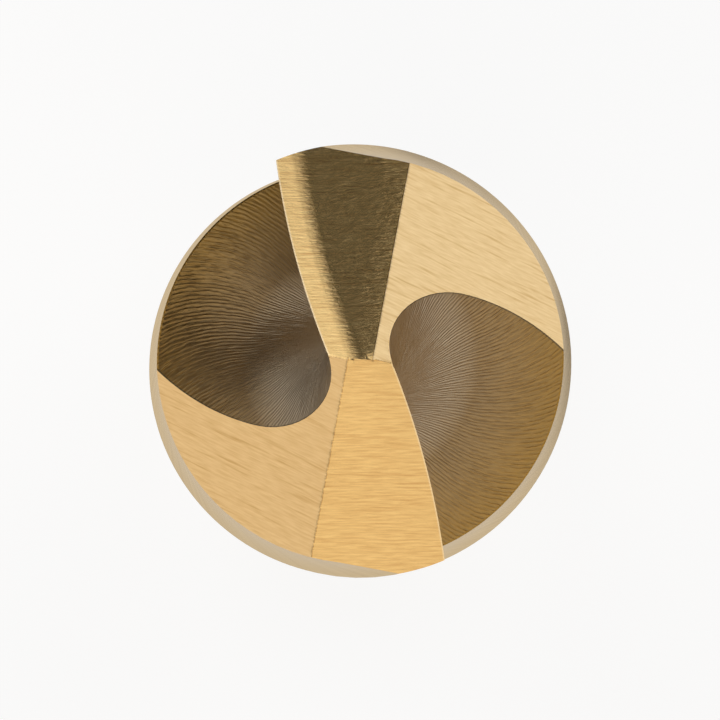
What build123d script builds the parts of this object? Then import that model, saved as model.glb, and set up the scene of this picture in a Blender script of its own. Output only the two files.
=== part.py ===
from build123d import *
from math import acos, ceil, degrees, pi, radians, sin, sqrt, tan
import os

# Twist drill, right-hand, two flutes, four-facet point, plain cylindrical shank.
# Stub length: 12 mm diameter, 102 mm overall, 51 mm of flute.
#
# The drill stands on its shank. The origin is the middle of the shank's end face, +Z runs up
# the axis to the point, and the cutting lips lie along X as they are seen from above the point.
# Everything across the drill is measured in the section at the height of the point. The same
# section turns with the helix all the way down the flutes.

# ---------------------------------------------------------------- driving dimensions, mm and deg

diameter = 12.0                 # over the margins, at the point
back_taper = 0.03               # by so much the drill is thinner at the shank, so that it can't bind
overall_length = 102.0          # shank end to chisel edge
shank_length = 48.0             # plain cylinder for the chuck or collet
flute_length = 51.0             # chisel edge to where the flutes leave the outside
helix_angle = 30.0              # of the flutes, at the outside diameter

web_thickness = 1.66            # solid core between the two flute floors
floor_radius = 1.74             # round floor of a flute
floor_bearing = 85.9            # direction of a flute's deepest point from the lip axis
floor_to_rake = 12.8            # part of the round floor on the rake side of the deepest point
floor_to_heel = 102.2           # part of the round floor on the heel side of it
lip_corner_angle = 22.7         # outer end of the rake face, from the lip axis
flute_opening = 65.2            # from the lip corner to the heel across a flute's mouth
runout_radius = 30.0            # arc on which the flute grinding wheel lifts out

margin_width = 1.25             # narrow guiding land that keeps the full diameter
land_clearance = 0.38           # depth of the ground-back land behind the margin
clearance_short = 4.0           # the land clearance fades out this far before the flutes do

point_angle = 130.0             # included angle of the two lips
lip_relief = 9.3                # clearance angle of the primary facets, behind the lips
heel_point_angle = 143.0        # the same two angles for the secondary facets
heel_relief = 23.5
chisel_edge = 0.69              # length of the short edge across the centre

shank_chamfer = 0.8             # on the shank's end, at 45 degrees

# ---------------------------------------------------------------- worked out from them

radius = diameter / 2
shank_radius = radius - back_taper / 2
lead = pi * diameter / tan(radians(helix_angle))    # height of one full turn of a flute
land_radius = radius - land_clearance
flute_middle = lip_corner_angle + flute_opening / 2
flute_depth = radius - web_thickness / 2
flute_exit = overall_length - flute_length
clearance_exit = flute_exit + clearance_short

clear_of_blank = radius / 2     # how far a cutter's open side reaches past the blank
overrun = radius / 8            # length of a cutting arc that is past the surface it cuts
above_point = 1.0               # a helical piece starts this far above the point and ends past its exit
wheel_bite = 0.01               # a slope ends this far below the round surface that it runs into
stations_per_turn = 24          # sections of a cutter in one turn of the helix


def polar(distance, angle):
    """A point of the section, by its distance from the axis and its direction."""
    return Vector(distance, 0).rotate(Axis.Z, angle)


def arc_through(start, tangent, point):
    """An arc that leaves the start along the tangent, goes through the point and overruns it."""
    chord = point - start
    half_turn = tangent.get_signed_angle(chord, Vector(0, 0, 1))
    arc_radius = chord.length / 2 / sin(radians(abs(half_turn)))
    turn = 2 * abs(half_turn) + degrees(overrun / arc_radius)
    return JernArc(start, tangent, arc_radius, turn if half_turn > 0 else -turn)


def wheel_travel(depth):
    """Length along the drill in which a wheel lifts out of a cut of some depth."""
    return sqrt(2 * runout_radius * depth - depth**2)


def flute_lift(height):
    """How far the flute's wheel has lifted at a height."""
    below = max(0.0, flute_exit + wheel_travel(flute_depth) - height)
    return runout_radius - sqrt(runout_radius**2 - below**2)


def section_heights(exit_height):
    """Even heights of helical sections, from above the point to just past an exit."""
    start = overall_length + above_point
    end = exit_height - above_point
    steps = ceil((start - end) / lead * stations_per_turn)
    return [start + (end - start) * step / steps for step in range(steps + 1)]


def section_plane(height, outwards=0.0):
    """The section's plane at a height, turned with the helix and moved out along the flute."""
    turn = 360 * (height - overall_length) / lead
    shift = polar(outwards, flute_middle + turn)
    return Plane(
        origin=(shift.X, shift.Y, height),
        x_dir=polar(1, turn),
        z_dir=(0, 0, 1),
    )


# ---------------------------------------------------------------- envelope
# The turned bar that nothing reaches out of: chamfered shank, then the fluted length with its
# slight back taper.

with BuildPart() as envelope:
    with BuildSketch(Plane.XZ):
        with BuildLine():
            Polyline(
                (0, 0),
                (shank_radius - shank_chamfer, 0),
                (shank_radius, shank_chamfer),
                (shank_radius, shank_length),
                (radius, overall_length),
                (0, overall_length),
                close=True,
            )
        make_face()
    revolve(axis=Axis.Z)

# ---------------------------------------------------------------- ground body
# The lands behind the margins are ground back to a smaller radius. Near the shank the wheel
# lifts out on its arc, and the body flares out past the envelope.

body_top = overall_length + above_point
flared_radius = radius + land_clearance

with BuildPart() as body:
    with BuildSketch(Plane.XZ):
        with BuildLine():
            land = Line((land_radius, body_top), (land_radius, clearance_exit + wheel_travel(land_clearance)))
            flare_turn = degrees(acos(1 - 2 * land_clearance / runout_radius))
            flare = JernArc(land @ 1, (0, -1), runout_radius, flare_turn)
            Polyline(flare @ 1, (flared_radius, 0), (0, 0), (0, body_top), land @ 0)
        make_face()
    revolve(axis=Axis.Z)

# ---------------------------------------------------------------- margin
# A helical ridge behind each lip corner, left standing at the full diameter. Behind it a flat
# slope runs down into the round land. Its front is cut by the flute.

ridge_root = land_radius - land_clearance
ridge_front = lip_corner_angle + degrees(margin_width / radius)
foot_distance = land_radius - wheel_bite
margin_back = lip_corner_angle - degrees(margin_width / radius)
foot_angle = margin_back - degrees(acos(foot_distance / radius))

with BuildPart() as margin:
    for height in section_heights(clearance_exit):
        with BuildSketch(section_plane(height)):
            with BuildLine():
                Polyline(
                    polar(ridge_root, foot_angle),
                    polar(foot_distance, foot_angle),
                    polar(flared_radius, foot_angle + degrees(acos(foot_distance / flared_radius))),
                    polar(flared_radius, ridge_front),
                    polar(ridge_root, ridge_front),
                    close=True,
                )
            make_face()
    loft()

# ---------------------------------------------------------------- flute
# Three arcs that run into each other: a nearly flat rake face from the lip corner inwards, the
# round floor beside the web, and the long curve up to the heel. The mouth is closed outside the
# blank. Where the flute ends, the wheel lifts out on an arc and the section moves outwards.

floor_centre = polar(web_thickness / 2 + floor_radius, floor_bearing)
floor_start = floor_bearing + 180 + floor_to_rake
lip_corner = polar(radius, lip_corner_angle)
heel_corner = polar(land_radius, lip_corner_angle + flute_opening)

with BuildPart() as flute:
    for height in section_heights(flute_exit):
        with BuildSketch(section_plane(height, flute_lift(height))):
            with BuildLine():
                floor = CenterArc(floor_centre, floor_radius, floor_start, -floor_to_rake - floor_to_heel)
                rake = arc_through(floor @ 0, (floor % 0) * -1, lip_corner)
                heel = arc_through(floor @ 1, floor % 1, heel_corner)
                Polyline(
                    rake @ 1,
                    rake @ 1 + (rake % 1) * clear_of_blank,
                    heel @ 1 + (heel % 1) * clear_of_blank,
                    heel @ 1,
                )
            make_face()
    loft()

# ---------------------------------------------------------------- drill

with BuildPart() as twist_drill:
    add(body.part)
    with PolarLocations(0, 2):
        add(margin.part)
    add(envelope.part, mode=Mode.INTERSECT)
    with PolarLocations(0, 2):
        add(flute.part, mode=Mode.SUBTRACT)

    # Point: a primary facet behind each lip and a steeper secondary facet behind that. The two
    # primaries meet in the chisel edge, and a secondary starts at each end of it. A facet falls
    # away outwards, along its lip, and backwards, against the turning drill.
    lip_fall = 1 / tan(radians(point_angle / 2))
    lip_relief_fall = tan(radians(lip_relief))
    heel_fall = 1 / tan(radians(heel_point_angle / 2))
    heel_relief_fall = tan(radians(heel_relief))
    chisel_end = Vector(-lip_relief_fall, -lip_fall).normalized() * (chisel_edge / 2)
    for side in (1, -1):
        corner = Vector(side * chisel_end.X, side * chisel_end.Y, overall_length)
        for outwards, backwards in ((lip_fall, lip_relief_fall), (heel_fall, heel_relief_fall)):
            facet = Plane(origin=corner, z_dir=(side * outwards, -side * backwards, 1))
            split(bisect_by=facet, keep=Keep.BOTTOM)

twist_drill.part.label = "twist_drill"

os.makedirs("parts", exist_ok=True)
export_step(twist_drill.part, "parts/twist_drill.step")
print("volume", round(twist_drill.part.volume, 2), "mm3, solids", len(twist_drill.part.solids()))
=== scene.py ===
# %% [markdown]
# # A twist drill, seen from its point
#
# This lesson dresses the solid model of a 12 mm twist drill. The solid has the true sizes, but its
# helical faces are made of rather few triangles, and a drill is looked at from close by. So a finer
# skin is modelled here, from the same named sizes, and stands in for the solid. Lengths are in
# metres, the drill stands on the end of its shank at the origin, and +Z runs up to its point.

# %% Frame
import math

import bmesh
import bpy
from mathutils import Matrix, Vector


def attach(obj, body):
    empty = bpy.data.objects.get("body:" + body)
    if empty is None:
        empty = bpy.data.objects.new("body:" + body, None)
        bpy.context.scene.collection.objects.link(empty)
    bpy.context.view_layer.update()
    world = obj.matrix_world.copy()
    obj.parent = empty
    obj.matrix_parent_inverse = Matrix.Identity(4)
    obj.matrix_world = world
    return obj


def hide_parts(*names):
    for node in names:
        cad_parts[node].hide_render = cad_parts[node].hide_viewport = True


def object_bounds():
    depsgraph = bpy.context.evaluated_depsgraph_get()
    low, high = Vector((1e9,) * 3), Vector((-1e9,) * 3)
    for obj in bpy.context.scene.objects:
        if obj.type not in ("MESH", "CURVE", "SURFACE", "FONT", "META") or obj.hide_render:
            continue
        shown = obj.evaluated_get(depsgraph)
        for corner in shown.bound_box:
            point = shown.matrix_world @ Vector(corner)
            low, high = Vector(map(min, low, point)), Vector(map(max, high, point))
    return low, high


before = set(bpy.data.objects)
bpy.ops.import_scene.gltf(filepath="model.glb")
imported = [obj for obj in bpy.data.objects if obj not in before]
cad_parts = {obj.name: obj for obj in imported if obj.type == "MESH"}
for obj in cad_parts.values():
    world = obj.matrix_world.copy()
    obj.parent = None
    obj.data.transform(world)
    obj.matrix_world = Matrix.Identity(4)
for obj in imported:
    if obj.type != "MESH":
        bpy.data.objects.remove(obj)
solid_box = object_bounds()
mm = 0.001
print("solid's box, mm:", [[round(v / mm, 3) for v in corner] for corner in solid_box])

# %% [markdown]
# ## Sizes
#
# They are the sizes that the drill was drawn with: the outside and its slight back taper, the
# helix, the arcs of a flute, the narrow margins, and the two grinding angles of each facet.

# %% Named sizes
radius = 6.0 * mm
shank_radius = 5.985 * mm
overall_length = 102.0 * mm
shank_length = 48.0 * mm
shank_chamfer = 0.8 * mm
flute_exit = 51.0 * mm
helix_angle = math.radians(30.0)
lead = 2 * math.pi * radius / math.tan(helix_angle)

web_thickness = 1.66 * mm
floor_radius = 1.74 * mm
floor_bearing = math.radians(85.9)
floor_to_rake = math.radians(12.8)
floor_to_heel = math.radians(102.2)
lip_corner_angle = math.radians(22.7)
flute_opening = math.radians(65.2)
runout_radius = 30.0 * mm

margin_width = 1.25 * mm
land_clearance = 0.38 * mm
clearance_exit = 55.0 * mm
land_radius = radius - land_clearance

print("one turn of a flute takes", round(lead / mm, 1), "mm of drill")

# %% [markdown]
# ## The ground point
#
# The point is four flat facets. A primary facet falls away behind each lip, and a steeper secondary
# facet falls away behind that one. The tool grinder makes each with one pass over a flat wheel.
# Where planes cut a bar from above, the height left over any spot is the lowest of the planes
# there, so one small function gives the whole point.

# %% Height of the point
point_angle = math.radians(130.0)
lip_relief = math.radians(9.3)
heel_point_angle = math.radians(143.0)
heel_relief = math.radians(23.5)
chisel_edge = 0.69 * mm

lip_fall = 1 / math.tan(point_angle / 2)
lip_relief_fall = math.tan(lip_relief)
heel_fall = 1 / math.tan(heel_point_angle / 2)
heel_relief_fall = math.tan(heel_relief)
chisel_end = Vector((-lip_relief_fall, -lip_fall)).normalized() * (chisel_edge / 2)

facets = []
for side in (1, -1):
    corner = side * chisel_end
    facets.append(("primary", corner, Vector((side * lip_fall, -side * lip_relief_fall))))
    facets.append(("secondary", corner, Vector((side * heel_fall, -side * heel_relief_fall))))


def facet_heights(spot):
    """Height of each facet's plane over a spot."""
    plan = Vector((spot.x, spot.y))
    return [overall_length - fall.dot(plan - corner) for kind, corner, fall in facets]


point_depth = overall_length - min(facet_heights(Vector((radius, 0))))
print("at its outside the point is", round(point_depth / mm, 2), "mm below the tip")

# %% [markdown]
# ## The section
#
# A flute's outline is three arcs that run into each other: the nearly flat rake face, the round
# floor and the long curve up to the heel. Each arc after the floor is found from where it starts,
# its direction there and one point it passes through, as a draughtsman would with a compass.

# %% Arcs of a flute
def polar(distance, angle):
    """A point of the section, by its distance from the axis and its direction."""
    return Vector((distance * math.cos(angle), distance * math.sin(angle)))


def turned(point, angle):
    """A point of the section turned about the axis."""
    return Vector((
        point.x * math.cos(angle) - point.y * math.sin(angle),
        point.x * math.sin(angle) + point.y * math.cos(angle),
    ))


def cross(a, b):
    """How far b turns left of a."""
    return a.x * b.y - a.y * b.x


def arc_centre(start, direction, through):
    """Centre of the arc that leaves start in a direction and goes through another point."""
    left = Vector((-direction.y, direction.x))
    chord = through - start
    return start + left * (chord.length_squared / (2 * chord.dot(left)))


floor_centre = polar(web_thickness / 2 + floor_radius, floor_bearing)
rake_start = floor_centre + polar(floor_radius, floor_bearing + math.pi + floor_to_rake)
heel_start = floor_centre + polar(floor_radius, floor_bearing + math.pi - floor_to_heel)
rake_heading = polar(1, floor_bearing + math.pi * 1.5 + floor_to_rake)
heel_heading = polar(1, floor_bearing + math.pi * 0.5 - floor_to_heel)
lip_corner = polar(radius, lip_corner_angle)
heel_corner = polar(land_radius, lip_corner_angle + flute_opening)
rake_centre = arc_centre(rake_start, rake_heading, lip_corner)
heel_centre = arc_centre(heel_start, heel_heading, heel_corner)
rake_radius = (rake_start - rake_centre).length
heel_radius = (heel_start - heel_centre).length
print("radii in mm: rake", round(rake_radius / mm, 2), "heel", round(heel_radius / mm, 2))

# %% [markdown]
# The lips are honed after grinding: a narrow strip of each primary facet leans almost ten degrees
# further down towards the lip. Its inner border runs along the curved lip. The hone is part of the
# height of the point, found from how far a spot is from the rake face once the helix is turned
# back.

# %% Height of the ground and honed point
hone_width = 0.7 * mm
hone_blend = 0.5 * mm
hone_lean = math.tan(math.radians(9.5))
rake_side = math.copysign(1, rake_centre.length - rake_radius)


def hone_drop(depth):
    """How much the hone takes off at a depth behind the rake face."""
    inner = hone_width + hone_blend / 2 - max(depth, 0.0)
    if inner <= 0:
        return 0.0
    if inner < hone_blend:
        return hone_lean * inner**2 / (2 * hone_blend)
    return hone_lean * (inner - hone_blend / 2)


def depth_behind_lip(spot, height, side):
    """How far a spot of the point lies behind the rake face of one side."""
    flat = turned(Vector((spot.x, spot.y)) * side, -2 * math.pi * (height - overall_length) / lead)
    return rake_side * ((flat - rake_centre).length - rake_radius)


def honed_heights(spot):
    """Height of each facet over a spot, with the hone taken off the primary ones."""
    heights = facet_heights(spot)
    for number, side in ((0, 1), (2, -1)):
        heights[number] -= hone_drop(depth_behind_lip(spot, heights[number], side))
    return heights


def point_height(spot):
    """Height of the finished point over a spot."""
    return min(honed_heights(spot))


print("hone at the lip, mm:", round(hone_drop(0) / mm, 3))

# %% [markdown]
# The flute's whole outline is also read by distance along it, from outside the heel to outside the
# lip. That makes it easy to cut it short where it leaves the bar, and to space points evenly on it.

# %% Distance along a flute
def turn_between(centre, start, end):
    """Signed angle from one point to another about a centre."""
    first = start - centre
    last = end - centre
    return math.atan2(cross(first, last), first.dot(last))


past_mouth = math.radians(30.0)
flute_arcs = []
for centre, start, end, before, after in (
    (heel_centre, heel_corner, heel_start, past_mouth, 0.0),
    (floor_centre, heel_start, rake_start, 0.0, 0.0),
    (rake_centre, rake_start, lip_corner, 0.0, past_mouth / 6),
):
    turn = turn_between(centre, start, end)
    way = math.copysign(1, turn)
    arm = turned(start - centre, -way * before)
    flute_arcs.append((centre, arm, way, arm.length * (abs(turn) + before + after)))
flute_span = sum(length for centre, arm, way, length in flute_arcs)


def flute_at(distance):
    """The point of the flute's outline at a distance along it."""
    for centre, arm, way, length in flute_arcs:
        if distance <= length or arm is flute_arcs[-1][1]:
            return centre + turned(arm, way * distance / arm.length)
        distance -= length


halvings = 40


def leaves_circle(inside, beyond, lift, circle_radius):
    """Distance along the outline, shifted by lift, at which it leaves a circle about the axis."""
    for halving in range(halvings):
        middle = (inside + beyond) / 2
        if (flute_at(middle) + lift).length < circle_radius:
            inside = middle
        else:
            beyond = middle
    return inside


print("length across a flute, mm:", round(flute_span / mm, 2))

# %% [markdown]
# ## One ring of the skin
#
# Down the drill the section turns with the helix. Where a flute ends, its wheel lifts out on an
# arc, so the flute's outline moves outwards and is cut short by the bar. The wheel that clears the
# lands lifts out the same way. `ring` gives the outline at any height, always with as many points
# in the same order, so rings can be joined point to point.

# %% Ring at a height
flute_middle = lip_corner_angle + flute_opening / 2
flute_depth = radius - web_thickness / 2
flute_points, margin_points, slope_points, land_points = 56, 6, 6, 20
tries_across = 200


def wheel_lift(height, exit_height, depth):
    """How far a wheel has lifted at a height, when it leaves the bar at the exit height."""
    travel = math.sqrt(2 * runout_radius * depth - depth**2)
    below = min(max(0.0, exit_height + travel - height), runout_radius)
    return runout_radius - math.sqrt(runout_radius**2 - below**2)


def outside(height):
    """Radius over the margins, with the back taper."""
    share = (height - shank_length) / (overall_length - shank_length)
    return shank_radius + (radius - shank_radius) * min(max(share, 0.0), 1.0)


def swept(centre, start, end, count):
    """Points along an arc from start towards end, the last left out."""
    turn = turn_between(centre, start, end)
    return [centre + turned(start - centre, turn * i / count) for i in range(count)]


margin_back = lip_corner_angle - margin_width / radius
foot_sink = 0.01 * mm
slope_foot = land_radius - foot_sink
slope_bearing = margin_back - math.acos(slope_foot / radius)


def on_slope(distance):
    """The point of the flat slope behind the margin at a distance from the axis."""
    return polar(distance, slope_bearing + math.acos(slope_foot / distance))


def half_ring(height):
    """Outline from one heel, across the flute, and back along the margin and the land."""
    lift = polar(wheel_lift(height, flute_exit, flute_depth), flute_middle)
    full = outside(height)
    land = min(land_radius + wheel_lift(height, clearance_exit, land_clearance), full)
    tried = [flute_span * i / tries_across for i in range(tries_across + 1)]
    deepest = min(tried, key=lambda distance: (flute_at(distance) + lift).length)
    if (flute_at(deepest) + lift).length < land:
        first = leaves_circle(deepest, 0.0, lift, land)
        last = leaves_circle(deepest, flute_span, lift, full)
        ways = [first + (last - first) * i / flute_points for i in range(flute_points + 1)]
        across = [flute_at(way) + lift for way in ways]
    else:
        ways = [deepest] * (flute_points + 1)
        across = [(flute_at(deepest) + lift).normalized() * full] * (flute_points + 1)
    top, foot = on_slope(full), on_slope(land)
    axis = Vector((0, 0))
    points = across[:-1]
    points += swept(axis, across[-1], top, margin_points)
    points += [top.lerp(foot, i / slope_points) for i in range(slope_points)]
    points += swept(axis, foot, -across[0], land_points)
    return points, ways + [0.0] * (len(points) - len(ways))


def ring(height):
    """The whole outline at a height, not yet turned with the helix, and distances across the flute."""
    half, ways = half_ring(height)
    return half + [-p for p in half], ways * 2


print("a ring has", len(ring(overall_length)[0]), "points")

# %% [markdown]
# ## The skin
#
# The skin starts as the ring well below the point. Extruding its edges ring by ring down the drill
# and moving each new ring to its place is how a helical sweep is made by hand, and it lets the
# flutes run out on the way. Upwards, each point of the outline climbs its own helix until it meets
# the ground point, so the lips and heels are exactly where the facets cut the flutes.

# %% Sweep of the fluted length
skin = bmesh.new()
part_of = skin.faces.layers.int.new("part_of")
way_across = skin.verts.layers.float.new("way_across")
below_edge = skin.verts.layers.float.new("below_edge")
behind_lip = skin.verts.layers.float.new("behind_lip")
kinds = ["flute", "margin", "slope", "land", "primary", "secondary", "shank"]
column_kinds = [0] * flute_points + [1] * margin_points + [2] * slope_points + [3] * land_points
ring_pitch = 0.4 * mm
point_start = overall_length - 7 * mm


def on_helix(point, height):
    """A point of the section carried to a height along its helix."""
    spot = turned(point, 2 * math.pi * (height - overall_length) / lead)
    return Vector((spot.x, spot.y, height))


def closed_ring(points):
    """A first ring of vertices joined by edges."""
    loop = [skin.verts.new(p) for p in points]
    return [skin.edges.new((loop[i], loop[(i + 1) % len(loop)])) for i in range(len(loop))], loop


def extrude_ring(edges, loop, points):
    """Extrudes the ring, moves the new one to its points and returns it in the same order."""
    made = set(bmesh.ops.extrude_edge_only(skin, edges=edges)["geom"])
    new_loop = [next(e.other_vert(v) for e in v.link_edges if e.other_vert(v) in made) for v in loop]
    for vert, point in zip(new_loop, points):
        vert.co = point
    pairs = zip(new_loop, new_loop[1:] + new_loop[:1])
    new_edges = [next(e for e in a.link_edges if e.other_vert(a) is b) for a, b in pairs]
    for i, edge in enumerate(new_edges):
        edge.link_faces[0][part_of] = column_kinds[i % len(column_kinds)]
    return new_edges, new_loop


def keep_place(loop, ways):
    """Notes each vertex's place across the flute, and its depth below the point's edge, in mm."""
    for vert, way, top in zip(loop, ways, tops):
        vert[way_across] = way / mm
        vert[below_edge] = (top - vert.co.z) / mm


climbing_steps = 30
first_guess = overall_length - 3 * mm
section, section_ways = ring(overall_length)
tops = []
for p in section:
    height = first_guess
    for step in range(climbing_steps):
        height = point_height(on_helix(p, height))
    tops.append(height)

base_edges, base_loop = closed_ring([on_helix(p, point_start) for p in section])
keep_place(base_loop, section_ways)
edges, loop = base_edges, base_loop
count = math.ceil((point_start - flute_exit) / ring_pitch)
for i in range(1, count + 1):
    height = point_start + (flute_exit - point_start) * i / count
    points, ways = ring(height)
    edges, loop = extrude_ring(edges, loop, [on_helix(p, height) for p in points])
    keep_place(loop, ways)
foot_edges, foot_loop = edges, loop
print("fluted length:", len(skin.faces), "faces")

# %% [markdown]
# The same extrusion goes up from the first ring. Each point has its own number of millimetres to
# climb, found above by stepping to and fro between its helix and the ground point until they agree.

# %% Up to the ground point
edges, loop = base_edges, base_loop
top_rings = 20
for i in range(1, top_rings + 1):
    heights = [point_start + (top - point_start) * i / top_rings for top in tops]
    edges, loop = extrude_ring(edges, loop, [on_helix(p, h) for p, h in zip(section, heights)])
    keep_place(loop, section_ways)
top_edges = edges
print("lowest corner of the point, mm:", round(min(tops) / mm, 2))

# %% [markdown]
# ## Facets
#
# One face closes the top. The grinder's planes meet over straight lines on the plan, so that face
# is cut along those lines with `bisect_plane`, and each part then lies in its own facet.

# %% Cut the cap into its facets
cap = bmesh.ops.contextual_create(skin, geom=top_edges)["faces"]
plan_cuts = []
for i, (kind, corner, fall) in enumerate(facets):
    for other_kind, other_corner, other_fall in facets[i + 1:]:
        across = fall - other_fall
        level = fall.dot(corner) - other_fall.dot(other_corner)
        plan_cuts.append((across.normalized() * (level / across.length), across.normalized()))


cut_snap = 1e-8


def cut_across(faces, spot, across):
    """Cuts faces by an upright plane through a spot, and returns all their parts."""
    their_edges = list({e for f in faces for e in f.edges})
    their_verts = list({v for f in faces for v in f.verts})
    made = bmesh.ops.bisect_plane(
        skin,
        geom=faces + their_edges + their_verts,
        dist=cut_snap,
        plane_co=(spot.x, spot.y, 0),
        plane_no=(across.x, across.y, 0),
    )
    return [g for g in made["geom"] if isinstance(g, bmesh.types.BMFace)]


for spot, across in plan_cuts:
    cap = cut_across(cap, spot, across)
for face in cap:
    heights = facet_heights(face.calc_center_median())
    number = heights.index(min(heights))
    face[part_of] = kinds.index(facets[number][0])
    face.material_index = number
print("cap:", len(cap), "faces")

# %% [markdown]
# The primary facets get rows of cuts along the lip, close enough to carry the hone's soft inner
# border, and cuts across them. Then every spot of the cap goes to the height of the point.

# %% Rows for the hone
lip_in_depth, lip_out_depth = 1 * mm, 3 * mm
lip_in = on_helix(rake_start, overall_length - lip_in_depth).xy
lip_out = on_helix(lip_corner, overall_length - lip_out_depth).xy
along = (lip_out - lip_in).normalized()
inwards = Vector((-along.y, along.x)) * math.copysign(1, cross(along, -lip_out))
row_pitch = 0.03 * mm
outside_lip = 0.2 * mm
inner_end_spare = 0.4 * mm
lip_rows, corner_rows = 42, 30
cross_start, cross_pitch, cross_rows = 0.6 * mm, 0.3 * mm, 18


def beyond(faces, spot, direction):
    """The faces whose middle lies past a spot in a direction, and the others."""
    past = [f for f in faces if (f.calc_center_median().xy - spot).dot(direction) > 0]
    return past, [f for f in faces if f not in past]


for number, side in ((0, 1), (2, -1)):
    rows = [f for f in cap if f.material_index == number]
    next_facet = [f for f in cap if f.material_index == (number + 3) % 4]
    cap = [f for f in cap if f.material_index not in (number, (number + 3) % 4)]
    inner_end = side * (lip_in - along * inner_end_spare)
    corner_part, rest = beyond(cut_across(next_facet, inner_end, along), inner_end, side * along)
    rows += corner_part
    for i in range(lip_rows):
        rows = cut_across(rows, side * (lip_out + inwards * (i * row_pitch - outside_lip)), inwards)
    for i in range(corner_rows):
        rows = cut_across(rows, inner_end + side * along * i * row_pitch, along)
    for i in range(cross_rows):
        rows = cut_across(rows, side * (lip_in + along * (cross_start + cross_pitch * i)), along)
    cap += rows + rest
for vert in {v for f in cap for v in f.verts}:
    if all(f in set(cap) for f in vert.link_faces):
        vert.co.z = point_height(vert.co)
    own_side = math.copysign(1, vert.co.xy.dot(lip_out))
    vert[behind_lip] = abs(depth_behind_lip(vert.co, vert.co.z, own_side)) / mm
for face in cap:
    heights = honed_heights(face.calc_center_median())
    face[part_of] = kinds.index(facets[heights.index(min(heights))][0])
print("cap with rows:", len(cap), "faces")

# %% [markdown]
# ## Shank
#
# Below the flutes the bar is plain and ground to size, so that a chuck can hold it: two more rings,
# a chamfer, and a flat end. Doubled vertices, which are left where a flute runs out to nothing, are
# merged before the normals are worked out.

# %% Shank
edges, loop = foot_edges, foot_loop
merge_distance = 0.0005 * mm
shank_rings = (
    (shank_length, shank_radius),
    (shank_chamfer, shank_radius),
    (0.0, shank_radius - shank_chamfer),
)
for height, width in shank_rings:
    points = []
    for vert in loop:
        spot = vert.co.xy.normalized() * width
        points.append(Vector((spot.x, spot.y, height)))
    edges, loop = extrude_ring(edges, loop, points)
    for edge in edges:
        edge.link_faces[0][part_of] = kinds.index("shank")
end_face = bmesh.ops.contextual_create(skin, geom=edges)["faces"]
for face in end_face:
    face[part_of] = kinds.index("shank")
bmesh.ops.remove_doubles(skin, verts=skin.verts, dist=merge_distance)
bmesh.ops.dissolve_degenerate(skin, edges=skin.edges, dist=merge_distance)
bmesh.ops.recalc_face_normals(skin, faces=skin.faces)
open_edges = [e for e in skin.edges if len(e.link_faces) != 2]
print("open edges:", len(open_edges), "faces:", len(skin.faces))
print("volume, mm3:", round(skin.calc_volume() / mm**3, 1))

# %% [markdown]
# Edges where two finishes or two faces at an angle meet stay sharp. Everything else is shaded
# smooth, because the real faces are curved, not made of flats. Each face keeps its place across and
# along the flute as a UV map, in millimetres, for the grinding marks. Vertices that stand out of
# the solid's box are brought back to it, and the largest such move is printed.

# %% Finish the skin
sharp_angle = math.radians(20)
for face in skin.faces:
    face.smooth = True
for edge in skin.edges:
    different = edge.link_faces[0][part_of] != edge.link_faces[1][part_of]
    edge.smooth = not (different or edge.calc_face_angle() > sharp_angle)
largest_move = 0.0
for vert in skin.verts:
    for axis in range(3):
        inside = min(max(vert.co[axis], solid_box[0][axis]), solid_box[1][axis])
        largest_move = max(largest_move, abs(vert.co[axis] - inside))
        vert.co[axis] = inside
print("sharp edges:", sum(not edge.smooth for edge in skin.edges))
print("largest move into the solid's box, mm:", round(largest_move / mm, 6))

# %% [markdown]
# A flute is ground by the side of a wheel that follows the helix. Its marks cross the flute: on
# the flanks they climb a little over two millimetres for each millimetre outwards, and at the
# bottom of the flute they turn along it. The map's first number is the way across the flute, and
# its second is the height plus that climb, so that one mark has the same second number all along.

# %% Map of the grinding marks
way_bottom = 5.9
climb_slope = 2.25
climb_turn = 1.8
bottom_round = 0.15


def climb(way):
    """Height that a grinding mark gains between the flute's bottom and a place across it, in mm."""
    bend = math.sinh((way - way_bottom) / climb_turn)
    return -climb_slope * climb_turn * math.log(math.hypot(bend, bottom_round))


heel_turn = abs(turn_between(heel_centre, heel_corner, heel_start))
heel_past = flute_arcs[0][3] - flute_arcs[0][1].length * heel_turn
marks = skin.loops.layers.uv.new("marks")
for face in skin.faces:
    for corner in face.loops:
        way = corner.vert[way_across] - heel_past / mm
        corner[marks].uv = (way, corner.vert.co.z / mm + climb(way))
print("heel starts at", round(heel_past / mm, 2), "mm of the way across")

# %% [markdown]
# The skin becomes one object at the origin, unturned and unscaled, since its place is already in its
# mesh. It rides on the only body there is and stands in for the solid, which stays for weight and
# collisions.

# %% Mesh and object
mesh = bpy.data.meshes.new("drill_skin")
skin.to_mesh(mesh)
drill = bpy.data.objects.new("drill_skin", mesh)
bpy.context.scene.collection.objects.link(drill)
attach(drill, "root")
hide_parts("twist_drill")
print("drill_skin:", len(mesh.polygons), "faces")

# %% [markdown]
# ## Finishes
#
# Every finish is built from nodes that work in true millimetres. One function turns a hex colour
# into the linear numbers that a shader wants. Another adds a node with its settings and its links.
# An input is named with underscores for spaces, or numbered, as in `i0`. It is given a number, a
# socket, or a whole node, whose first working output is then linked.

# %% Colours and nodes
def srgb(code):
    """A hex sRGB colour as linear RGBA."""
    parts = [int(code[i:i + 2], 16) / 255 for i in (1, 3, 5)]
    return [p / 12.92 if p <= 0.04045 else ((p + 0.055) / 1.055) ** 2.4 for p in parts] + [1.0]


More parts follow.
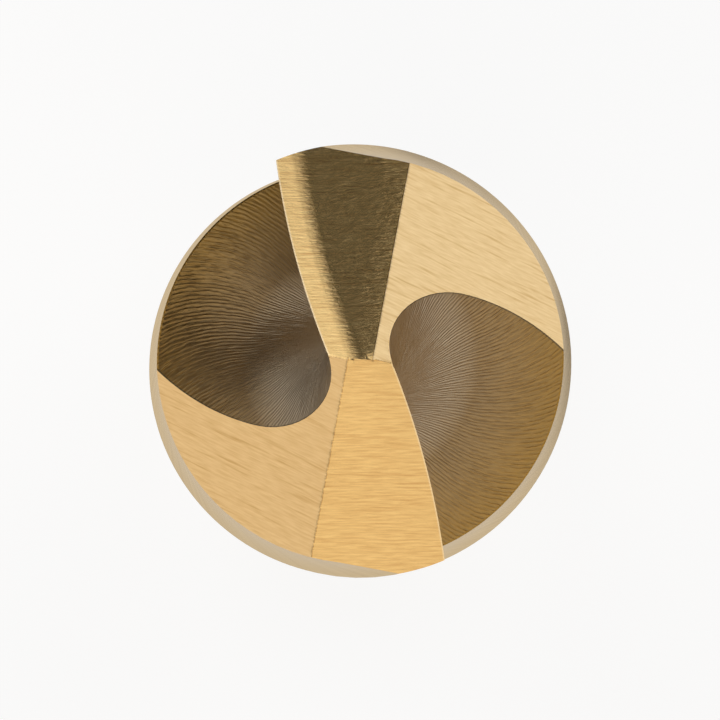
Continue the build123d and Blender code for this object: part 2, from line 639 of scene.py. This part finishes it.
def add_node(tree, kind, settings=None, **inputs):
    """Adds a node, sets its properties, and sets or links its inputs."""
    node = tree.nodes.new(kind)
    for name, value in (settings or {}).items():
        setattr(node, name, value)
    for name, value in inputs.items():
        numbered = name[0] == "i" and name[1:].isdigit()
        socket = node.inputs[int(name[1:]) if numbered else name.replace("_", " ")]
        if isinstance(value, bpy.types.Node):
            value = next(output for output in value.outputs if output.enabled)
        if isinstance(value, bpy.types.NodeSocket):
            tree.links.new(value, socket)
        else:
            socket.default_value = value
    return node


def new_material(name):
    """A material with no nodes yet, and its node tree."""
    material = bpy.data.materials.new(name)
    material.use_nodes = True
    material.node_tree.nodes.clear()
    return material, material.node_tree


print("the film's gold, linear:", [round(v, 3) for v in srgb("#F0CE8E")])

# %% [markdown]
# Patterns read Object coordinates, so their grains have true sizes and stay in place on the drill.
# Dividing each direction of the place by a size of its own, before the noise is read, stretches its
# round grains into scratches.

# %% Places and grains in millimetres
def in_mm(tree, turn=0.0):
    """Object coordinates in millimetres, with X along a direction on the plan."""
    place = add_node(tree, "ShaderNodeTexCoord").outputs["Object"]
    scaled = add_node(tree, "ShaderNodeVectorMath", {"operation": "SCALE"}, i0=place, Scale=1 / mm)
    if not turn:
        return scaled
    return add_node(tree, "ShaderNodeVectorRotate", {"rotation_type": "Z_AXIS"}, i0=scaled, Angle=-turn)


def stretched(tree, place, sizes, detail=2.0, seed=(0, 0, 0)):
    """Noise whose grains have these sizes in millimetres."""
    grains = add_node(tree, "ShaderNodeVectorMath", {"operation": "DIVIDE"}, i0=place, i1=sizes)
    moved = add_node(tree, "ShaderNodeVectorMath", {"operation": "ADD"}, i0=grains, i1=seed)
    return add_node(tree, "ShaderNodeTexNoise", Vector=moved, Scale=1.0, Detail=detail)


view_turn = math.radians(-105.35)
print("scratches are measured from a line turned", round(math.degrees(view_turn), 2), "degrees from X")

# %% [markdown]
# ### Where the two facets of a side meet
#
# The border of a primary and a secondary facet is a straight line on the plan. Two dot products
# tell how far a spot is past that line and which side of the drill it is on, so one formula serves
# both sides. The wheel leaves a fine dark burr there, and rolls the primary facet's edge over.

# %% Distance past the border
facet_border = (facets[0][2] - facets[1][2]).normalized()
border_way = Vector((facet_border.y, -facet_border.x))
border_level = facet_border.dot(chisel_end) / mm


def past_border(tree):
    """Distance in millimetres past the border, positive on the primary facet."""
    place = in_mm(tree)
    across, way = (*facet_border, 0.0), (*border_way, 0.0)
    level = add_node(tree, "ShaderNodeVectorMath", {"operation": "DOT_PRODUCT"}, i0=place, i1=across)
    along_it = add_node(tree, "ShaderNodeVectorMath", {"operation": "DOT_PRODUCT"}, i0=place, i1=way)
    side = add_node(tree, "ShaderNodeMath", {"operation": "SIGN"}, i0=along_it)
    settings = {"operation": "MULTIPLY_ADD"}
    return add_node(tree, "ShaderNodeMath", settings, i0=level, i1=side, i2=-border_level)


print("the border passes", round(border_level, 3), "mm from the axis")

# %% [markdown]
# ### Ground facets
#
# The drill is high-speed steel with a thin gold-bronze oxide film. Each facet is ground flat in one
# pass, so it has straight parallel scratches, some grit where the wheel's grains broke, and a few
# long darker streaks. Real scratches are a few thousandths of a millimetre wide and would not show
# from here, so they are drawn at about a twentieth of a millimetre. The honed strip along a lip is
# smoother than the rest, and its very edge gets a painted highlight: its colour turns pale cream.

# %% Colour of a facet
scratch_width = 0.05
streak_width = 0.07
burr_reach = 0.04
lip_highlight_reach = 0.05


def facet_colour(tree, scratches, streaks, past, behind, look):
    """Colour from scratches and streaks, the border's burr and a painted highlight along the lip's edge.
    """
    fine = add_node(tree, "ShaderNodeMapRange", Value=scratches, From_Min=0.3, From_Max=0.75, To_Max=0.5)
    long_ones = add_node(tree, "ShaderNodeMapRange", Value=streaks, From_Min=0.58, From_Max=0.74)
    settings = {"operation": "MULTIPLY_ADD", "use_clamp": True}
    marks_seen = add_node(tree, "ShaderNodeMath", settings, i0=long_ones, i1=look["streaked"], i2=fine)
    light, dark = srgb(look["light"]), srgb(look["dark"])
    colour = add_node(tree, "ShaderNodeMix", {"data_type": "RGBA"}, i0=marks_seen, i6=light, i7=dark)
    away = add_node(tree, "ShaderNodeMath", {"operation": "ABSOLUTE"}, i0=past)
    line = add_node(
        tree, "ShaderNodeMapRange",
        Value=away, From_Min=0.015, From_Max=burr_reach, To_Min=0.5, To_Max=0.0,
    )
    broken = add_node(tree, "ShaderNodeMapRange", Value=scratches, From_Min=0.35, From_Max=0.6)
    dark_line = add_node(tree, "ShaderNodeMath", {"operation": "MULTIPLY"}, i0=line, i1=broken)
    burnt = srgb("#6B5230")
    colour = add_node(tree, "ShaderNodeMix", {"data_type": "RGBA"}, i0=dark_line, i6=colour, i7=burnt)
    if not look["rolled"]:
        return colour
    # Painted highlight: within a twentieth of a millimetre of the lip the colour turns pale cream. Only
    # the facets with a rolled edge, the primary ones, get it.
    lip = add_node(
        tree, "ShaderNodeMapRange",
        Value=behind, From_Min=0.02, From_Max=lip_highlight_reach, To_Min=0.45, To_Max=0.0,
    )
    return add_node(tree, "ShaderNodeMix", {"data_type": "RGBA"}, i0=lip, i6=colour, i7=srgb("#FFF0D0"))


print("scratches:", scratch_width, "mm wide, streaks:", streak_width, "mm wide")

# %% [markdown]
# The scratches and the grit also tilt the surface, which breaks up what it mirrors. Bump nodes are
# chained: each adds its own depth, in true millimetres, to the normal of the one before.

# %% Relief of a facet
roll_reach = 0.9
grit_depth = 0.0095
hone_grit = 0.35


def facet_relief(tree, scratches, grit, past, behind, look):
    """Normal from the rolled edge, the scratches and the grit, which is finer on the honed strip."""
    near = add_node(
        tree, "ShaderNodeMapRange",
        Value=past, From_Min=0.0, From_Max=roll_reach, To_Min=1.0, To_Max=0.0,
    )
    bent = add_node(tree, "ShaderNodeMath", {"operation": "POWER"}, i0=near, i1=2.0)
    fallen = add_node(tree, "ShaderNodeMapRange", Value=bent, To_Min=1.0, To_Max=0.0)
    rolled = add_node(tree, "ShaderNodeBump", Height=fallen, Distance=look["rolled"] * mm, Strength=1.0)
    scratched = add_node(
        tree, "ShaderNodeBump",
        Height=scratches, Distance=look["depth"] * mm, Strength=1.0, Normal=rolled,
    )
    calm = add_node(
        tree, "ShaderNodeMapRange",
        Value=behind, From_Min=0.55, From_Max=0.8, To_Min=hone_grit, To_Max=1.0,
    )
    felt = add_node(tree, "ShaderNodeMath", {"operation": "MULTIPLY"}, i0=grit, i1=calm)
    return add_node(
        tree, "ShaderNodeBump",
        Height=felt, Distance=grit_depth * mm, Strength=1.0, Normal=scratched,
    )


print("grit:", grit_depth, "mm deep, rolled edge:", roll_reach, "mm wide")

# %% [markdown]
# Scratches mirror light in a streak across themselves. Anisotropic does that: the highlight is
# drawn out along the tangent, so the tangent is turned square to the scratches. The roughness of
# about a quarter is that of finely ground steel. The secondary facets are ground in another
# direction, with a coarser look, because nothing cuts there.

# %% Ground facets
grain_height, streak_height = 4.0, 9.0
grit_size = (0.26, 0.055, grain_height)
grit_seed, streak_seed = (4.1, 2.8, 0.9), (7.3, 1.9, 4.2)
highlight_stretch = 0.8


def ground_facet(name, look):
    """Flat ground steel under an oxide film, with scratches in one direction."""
    material, tree = new_material(name)
    turn = view_turn + math.radians(look["line_turn"])
    place = in_mm(tree, turn)
    length = look["scratch_length"]
    scratches = stretched(tree, place, (length, scratch_width, grain_height), 2.0)
    grit = stretched(tree, place, grit_size, 3.0, grit_seed)
    streaks = stretched(tree, place, (length * 3, streak_width, streak_height), 1.0, streak_seed)
    past = past_border(tree)
    behind = add_node(tree, "ShaderNodeAttribute", {"attribute_name": "behind_lip"}).outputs["Fac"]
    square = add_node(tree, "ShaderNodeCombineXYZ", X=-math.sin(turn), Y=math.cos(turn), Z=0.0)
    metal = add_node(
        tree, "ShaderNodeBsdfPrincipled",
        Base_Color=facet_colour(tree, scratches, streaks, past, behind, look),
        Metallic=1.0, Roughness=look["roughness"], Anisotropic=highlight_stretch, Tangent=square,
        Normal=facet_relief(tree, scratches, grit, past, behind, look),
    )
    add_node(tree, "ShaderNodeOutputMaterial", Surface=metal)
    return material


primary_look = {
    "line_turn": 0, "scratch_length": 0.6, "light": "#F0CE8E", "dark": "#C2955A",
    "streaked": 0.25, "roughness": 0.24, "depth": 0.0015, "rolled": 0.0105,
}
secondary_look = {
    "line_turn": -26, "scratch_length": 0.45, "light": "#EBCD9A", "dark": "#CBA76F",
    "streaked": 0.5, "roughness": 0.28, "depth": 0.001, "rolled": 0.0,
}
primary = ground_facet("oxide_filmed_steel_fine_ground_primary_facet", primary_look)
secondary = ground_facet("oxide_filmed_steel_ground_secondary_facet", secondary_look)
print("facets:", primary.name, "and", secondary.name)

# %% [markdown]
# ### Ground flutes
#
# A flute is ground from the solid by a shaped wheel, in one long pass that follows the helix. The
# wheel leaves a line for each small step of its feed. The lines wander and break up, and they are
# deepest near the heel. The pattern is read from the skin's UV map, where one line has one second
# number, so a sine wave makes the lines and noise makes them wander. On a drill of this size they
# are about a quarter of a millimetre apart, coarse enough to be drawn as they are.

# %% Lines of a flute
line_pitch = 0.27
line_wander = 8.0
line_share = 0.2
drift_size, drift_seed = (0.9, 0.6, 1.0), (3.1, 8.4, 0)
dash_size = (0.4, 0.15, 1.0)


def flute_lines(tree, place):
    """Height of the grinding lines: regular waves in part, and broken dashes."""
    drift = stretched(tree, place, drift_size, 2.0, drift_seed)
    along = add_node(tree, "ShaderNodeSeparateXYZ", Vector=place).outputs["Y"]
    per_mm = 2 * math.pi / line_pitch
    turns = add_node(tree, "ShaderNodeMath", {"operation": "MULTIPLY"}, i0=along, i1=per_mm)
    settings = {"operation": "MULTIPLY_ADD"}
    wandering = add_node(tree, "ShaderNodeMath", settings, i0=drift, i1=line_wander, i2=turns)
    wave = add_node(tree, "ShaderNodeMath", {"operation": "SINE"}, i0=wandering)
    dashes = stretched(tree, place, dash_size, 3.0)
    return add_node(tree, "ShaderNodeMath", settings, i0=wave, i1=line_share, i2=dashes)


print("lines are", line_pitch, "mm apart")

# %% [markdown]
# The film is deepest in colour at the rim and plain bronze on the flank. The bottom of the flute,
# next to the web, is painted nearly white: painted light that stands in for the light bouncing about
# in the flute. Right under the ground point a thin dark line follows the edge.

# %% Colour of a flute
cloud_size, cloud_seed = (2.5, 3.0, 1.0), (1.4, 0.3, 0)
rim_start, rim_end = 0.3, 3.2
painted_web_light_start, painted_web_light_end = 3.2, 5.4


def flute_colour(tree, place, way, lines):
    """Colour from the lines, soft clouds and the way across the flute in millimetres."""
    clouds = stretched(tree, place, cloud_size, 2.0, cloud_seed)
    lined = add_node(
        tree, "ShaderNodeMapRange",
        Value=lines, From_Min=0.25, From_Max=0.75, To_Min=-0.3, To_Max=0.5,
    )
    settings = {"operation": "MULTIPLY_ADD", "use_clamp": True}
    tone = add_node(tree, "ShaderNodeMath", settings, i0=clouds, i1=0.7, i2=lined)
    colours = {"data_type": "RGBA"}
    flank = add_node(tree, "ShaderNodeMix", colours, i0=tone, i6=srgb("#86694A"), i7=srgb("#A88554"))
    gold = add_node(tree, "ShaderNodeMix", colours, i0=tone, i6=srgb("#96702C"), i7=srgb("#AA7E32"))
    rim = add_node(
        tree, "ShaderNodeMapRange",
        Value=way, From_Min=rim_start, From_Max=rim_end, To_Min=1.0, To_Max=0.0,
    )
    colour = add_node(tree, "ShaderNodeMix", colours, i0=rim, i6=flank, i7=gold)
    # Painted light: towards the web the colour turns nearly white.
    web = add_node(tree, "ShaderNodeMapRange", Value=way, From_Min=painted_web_light_start, From_Max=painted_web_light_end)
    colour = add_node(tree, "ShaderNodeMix", colours, i0=web, i6=colour, i7=srgb("#EEE4D2"))
    # Within about a sixth of a millimetre below the ground point's edge, the colour turns dark brown in
    # a thin line.
    below = add_node(tree, "ShaderNodeAttribute", {"attribute_name": "below_edge"}).outputs["Fac"]
    dark_line = add_node(
        tree, "ShaderNodeMapRange",
        Value=below, From_Min=0.06, From_Max=0.16, To_Min=0.85, To_Max=0.0,
    )
    return add_node(tree, "ShaderNodeMix", colours, i0=dark_line, i6=colour, i7=srgb("#3A2C1C"))


print("flank, linear:", [round(v, 3) for v in srgb("#A88554")[:3]])
print("web, linear:", [round(v, 3) for v in srgb("#EEE4D2")[:3]])

# %% [markdown]
# The lines are cut a few hundredths of a millimetre deep and fade towards the web. The heel's edge
# is not knife-sharp: the last few hundredths of a millimetre round off, which draws a fine pale line
# round the flute. A weak specular tint keeps the mirrored light warm at the low angles at which a
# flute is seen.

# %% Ground flutes
line_depth = 0.034
heel_round = 0.06
heel_drop = 0.04
flute_roughness = 0.32


def ground_flute(name):
    """Steel under an oxide film, ground across the helix by a shaped wheel."""
    material, tree = new_material(name)
    place = add_node(tree, "ShaderNodeUVMap", {"uv_map": "marks"})
    way = add_node(tree, "ShaderNodeSeparateXYZ", Vector=place).outputs["X"]
    lines = flute_lines(tree, place)
    fading = add_node(
        tree, "ShaderNodeMapRange", Value=way, From_Min=0.8, From_Max=5.2, To_Min=1.0, To_Max=0.32,
    )
    felt = add_node(tree, "ShaderNodeMath", {"operation": "MULTIPLY"}, i0=lines, i1=fading)
    heel = add_node(tree, "ShaderNodeMapRange", Value=way, From_Min=0.0, From_Max=heel_round)
    rounded = add_node(tree, "ShaderNodeBump", Height=heel, Distance=heel_drop * mm, Strength=1.0)
    lined = add_node(
        tree, "ShaderNodeBump", Height=felt, Distance=line_depth * mm, Strength=1.0, Normal=rounded,
    )
    metal = add_node(
        tree, "ShaderNodeBsdfPrincipled",
        Base_Color=flute_colour(tree, place, way, lines), Metallic=1.0, Roughness=flute_roughness,
        Specular_Tint=srgb("#EEE8D6"), Normal=lined,
    )
    add_node(tree, "ShaderNodeOutputMaterial", Surface=metal)
    return material


flute = ground_flute("oxide_filmed_steel_wheel_ground_flute")
print("flute:", flute.name)

# %% [markdown]
# ### Cylindrical grinding
#
# Shank, lands and margins are ground on the outside while the drill turns between centres. That
# leaves fine rings, hardly deep enough to feel, and the palest film. The real rings are finer than
# can be seen, so they are drawn a third of a millimetre wide. The grain is long in X and Y and short
# in Z, so that it is the same all the way round.

# %% Ground outside
ring_width = 0.3
ring_grain = 60.0
ring_depth = 0.0006
outside_roughness = 0.26


def ground_outside(name):
    """Steel under an oxide film, ground between centres."""
    material, tree = new_material(name)
    rings = stretched(tree, in_mm(tree), (ring_grain, ring_grain, ring_width), 5.0)
    share = add_node(tree, "ShaderNodeMapRange", Value=rings, From_Min=0.3, From_Max=0.7)
    colours = {"data_type": "RGBA"}
    colour = add_node(tree, "ShaderNodeMix", colours, i0=share, i6=srgb("#C0A77F"), i7=srgb("#CFB890"))
    metal = add_node(
        tree, "ShaderNodeBsdfPrincipled",
        Base_Color=colour, Metallic=1.0, Roughness=outside_roughness, Specular_Tint=srgb("#F2E8D4"),
        Normal=add_node(tree, "ShaderNodeBump", Height=rings, Distance=ring_depth * mm, Strength=1.0),
    )
    add_node(tree, "ShaderNodeOutputMaterial", Surface=metal)
    return material


outside_finish = ground_outside("oxide_filmed_steel_ground_between_centres")
print("outside:", outside_finish.name)

# %% [markdown]
# Each face still knows what it is part of, so it gets its finish from that.

# %% Finishes on their faces
finish_of = {
    "flute": flute, "primary": primary, "secondary": secondary,
    "margin": outside_finish, "slope": outside_finish, "land": outside_finish, "shank": outside_finish,
}
finishes = [flute, outside_finish, primary, secondary]
for finish in finishes:
    mesh.materials.append(finish)
part_data = mesh.attributes["part_of"].data
for polygon in mesh.polygons:
    kind = kinds[part_data[polygon.index].value]
    polygon.material_index = finishes.index(finish_of[kind])
for number, finish in enumerate(finishes):
    print(finish.name, sum(polygon.material_index == number for polygon in mesh.polygons), "faces")

# %% [markdown]
# ## Camera
#
# A drill is judged by its point, so the camera looks straight down on it, with a long lens that
# keeps the outline round. The camera's place and aim are given from the tip, and its matrix is
# built from three directions, which also sets how the picture is turned.

# %% Camera
tip = Vector((0, 0, overall_length))
camera_distance = 0.660
camera_offset = 0.00627
aim_offset = Vector((-0.008, -0.022)) * mm
camera_data = bpy.data.cameras.new("camera")
camera_data.sensor_width = 36.0
camera_data.lens = 1199.0
camera = bpy.data.objects.new("camera", camera_data)
bpy.context.scene.collection.objects.link(camera)
right = Vector((math.cos(view_turn), math.sin(view_turn), 0))
up = Vector((-right.y, right.x, 0))
camera.location = tip + Vector((0, 0, camera_distance)) - up * camera_offset
aim = tip + up * aim_offset.y + right * aim_offset.x
backwards = (camera.location - aim).normalized()
sideways = (right - backwards * right.dot(backwards)).normalized()
turned_axes = Matrix((sideways, backwards.cross(sideways), backwards)).transposed()
camera.matrix_world = Matrix.Translation(camera.location) @ turned_axes.to_4x4()
bpy.context.scene.camera = camera
print("the camera leans", round(math.degrees(math.acos(backwards.z)), 2), "degrees from straight down")

# %% [markdown]
# ## Floor
#
# The floor is white paper. To the camera and in the metal's reflections it shows as plain white,
# darkened only where the drill's shadow falls: a glow gives most of that white, and a thin layer of
# diffuse paper keeps the shadow. All other light sees ordinary paper.

# %% Floor
floor_half = 4.0
floor_glow = 0.88
floor_mesh = bmesh.new()
bmesh.ops.create_grid(floor_mesh, x_segments=1, y_segments=1, size=floor_half)
floor_data = bpy.data.meshes.new("floor")
floor_mesh.to_mesh(floor_data)
floor = bpy.data.objects.new("floor", floor_data)
bpy.context.scene.collection.objects.link(floor)
material, tree = new_material("matt_white_paper")
path = add_node(tree, "ShaderNodeLightPath")
camera_ray, glossy_ray = path.outputs["Is Camera Ray"], path.outputs["Is Glossy Ray"]
seen = add_node(tree, "ShaderNodeMath", {"operation": "MAXIMUM"}, i0=camera_ray, i1=glossy_ray)
through_ray = path.outputs["Is Transmission Ray"]
seen = add_node(tree, "ShaderNodeMath", {"operation": "MAXIMUM"}, i0=seen, i1=through_ray)
paper = add_node(tree, "ShaderNodeBsdfDiffuse", Color=srgb("#E8E8E8"))
thin = add_node(tree, "ShaderNodeBsdfDiffuse", Color=srgb("#707070"))
glow = add_node(tree, "ShaderNodeEmission", Color=(1, 1, 1, 1), Strength=floor_glow)
lit = add_node(tree, "ShaderNodeAddShader", i0=thin, i1=glow)
mix = add_node(tree, "ShaderNodeMixShader", i0=seen, i1=paper, i2=lit)
add_node(tree, "ShaderNodeOutputMaterial", Surface=mix)
floor_data.materials.append(material)
print("floor:", floor_half * 2, "m across")

# %% [markdown]
# ## Lamps
#
# Ground facets are lit by softboxes, one for each direction in which a facet mirrors the room. Each
# lamp is placed by its direction as seen from the tip. Its power follows from how bright its face
# should be, so that a lamp can be made larger without making the metal brighter. A lamp near white
# lets the colours come out as they are written.

# %% Lamps
lamp_distance = 0.5
world_strength = 0.07
world = bpy.data.worlds.new("studio")
bpy.context.scene.world = world
world.use_nodes = True
world.node_tree.nodes["Background"].inputs["Color"].default_value = srgb("#FFFFFF")
world.node_tree.nodes["Background"].inputs["Strength"].default_value = world_strength


def softbox(name, azimuth, elevation, width, height, radiance, code="#FFFFFF"):
    """A rectangular lamp that faces the tip, by its direction from there in degrees."""
    turn = view_turn + math.radians(azimuth)
    lift = math.radians(elevation)
    level = math.cos(lift)
    direction = Vector((math.cos(turn) * level, math.sin(turn) * level, math.sin(lift)))
    data = bpy.data.lights.new(name, "AREA")
    data.shape = "RECTANGLE"
    data.size, data.size_y = width, height
    data.energy = radiance * math.pi * width * height
    data.color = srgb(code)[:3]
    lamp = bpy.data.objects.new(name, data)
    lamp.location = tip + direction * lamp_distance
    lamp.rotation_euler = direction.to_track_quat("Z", "Y").to_euler()
    lamp.visible_camera = False
    bpy.context.scene.collection.objects.link(lamp)
    print(name, round(data.energy, 2), "W")


softbox("near_lamp", 255, 38, 0.8, 0.5, 1.02, "#FFF2E0")
softbox("far_right_lamp", 46, 33, 0.42, 0.5, 1.1)
softbox("left_lamp", 127, 38, 0.36, 0.5, 1.3)

# %% [markdown]
# ## Cards
#
# Bright metal shows only what it mirrors, and a flute mirrors the floor beside the drill. A studio
# lays dark and graded cards there to give a flute its shape. These cards are seen in reflections
# alone: they throw no shadow and give the floor no light. Corners are in millimetres from the axis,
# to the right and up as the camera sees them. The far card is plain dark felt.

# %% A card beside the drill
card_height = 1.0 * mm


def shading_card(name, low, high):
    """A card between two corners, that only reflections see. Its node tree is returned."""
    card_mesh = bmesh.new()
    bmesh.ops.create_grid(card_mesh, x_segments=1, y_segments=1, size=0.5)
    for vert in card_mesh.verts:
        share_right, share_up = vert.co.x + 0.5, vert.co.y + 0.5
        to_right = low[0] + (high[0] - low[0]) * share_right
        to_up = low[1] + (high[1] - low[1]) * share_up
        vert.co = right * to_right * mm + up * to_up * mm
        vert.co.z = card_height
    card_data = bpy.data.meshes.new(name)
    card_mesh.to_mesh(card_data)
    card = bpy.data.objects.new(name, card_data)
    bpy.context.scene.collection.objects.link(card)
    card.visible_camera = False
    card.visible_shadow = False
    card.visible_diffuse = False
    material, tree = new_material(name)
    card_data.materials.append(material)
    print(name, "from", low, "to", high, "mm")
    return tree


tree = shading_card("far_card", (24, 40), (420, 140))
felt = add_node(tree, "ShaderNodeBsdfDiffuse", Color=srgb("#080808"))
add_node(tree, "ShaderNodeOutputMaterial", Surface=felt)

# %% [markdown]
# The graded card is dark, with a light band across it and a light patch further out that reaches
# down past the band. Its shade is the larger of the two, multiplied by ramps that end them softly.

# %% Graded card
card_dark = 0.06
band_start, band_full = -3.0, 13.0
patch_start, patch_full = 68.0, 78.0
tree = shading_card("right_card", (38, -110), (420, 42))
place = in_mm(tree)
dot_product = {"operation": "DOT_PRODUCT"}
along_up = add_node(tree, "ShaderNodeVectorMath", dot_product, i0=place, i1=tuple(up))
along_right = add_node(tree, "ShaderNodeVectorMath", dot_product, i0=place, i1=tuple(right))
band = add_node(
    tree, "ShaderNodeMapRange",
    Value=along_up, From_Min=band_start, From_Max=band_full, To_Min=card_dark, To_Max=1.0,
)
patch = add_node(
    tree, "ShaderNodeMapRange",
    Value=along_right, From_Min=patch_start, From_Max=patch_full, To_Min=card_dark, To_Max=1.3,
)
shade = add_node(tree, "ShaderNodeMath", {"operation": "MAXIMUM"}, i0=patch, i1=band)
for direction, start, end, before, after in (
    (along_up, 26.0, 41.0, 1.1, 0.02),
    (along_right, 38.0, 50.0, 0.6, 1.0),
    (along_right, 84.0, 98.0, 1.0, 0.12),
):
    ramp = add_node(
        tree, "ShaderNodeMapRange",
        Value=direction, From_Min=start, From_Max=end, To_Min=before, To_Max=after,
    )
    shade = add_node(tree, "ShaderNodeMath", {"operation": "MULTIPLY"}, i0=shade, i1=ramp)
glow = add_node(tree, "ShaderNodeEmission", Strength=shade)
add_node(tree, "ShaderNodeOutputMaterial", Surface=glow)
print("light band from", band_full, "mm up, light patch from", patch_full, "mm to the right")

# %% [markdown]
# ## Colour management
#
# The Standard view shows colours as they are written. Everything else stays at its default.

# %% View
bpy.context.scene.view_settings.view_transform = "Standard"
print("view:", bpy.context.scene.view_settings.view_transform)
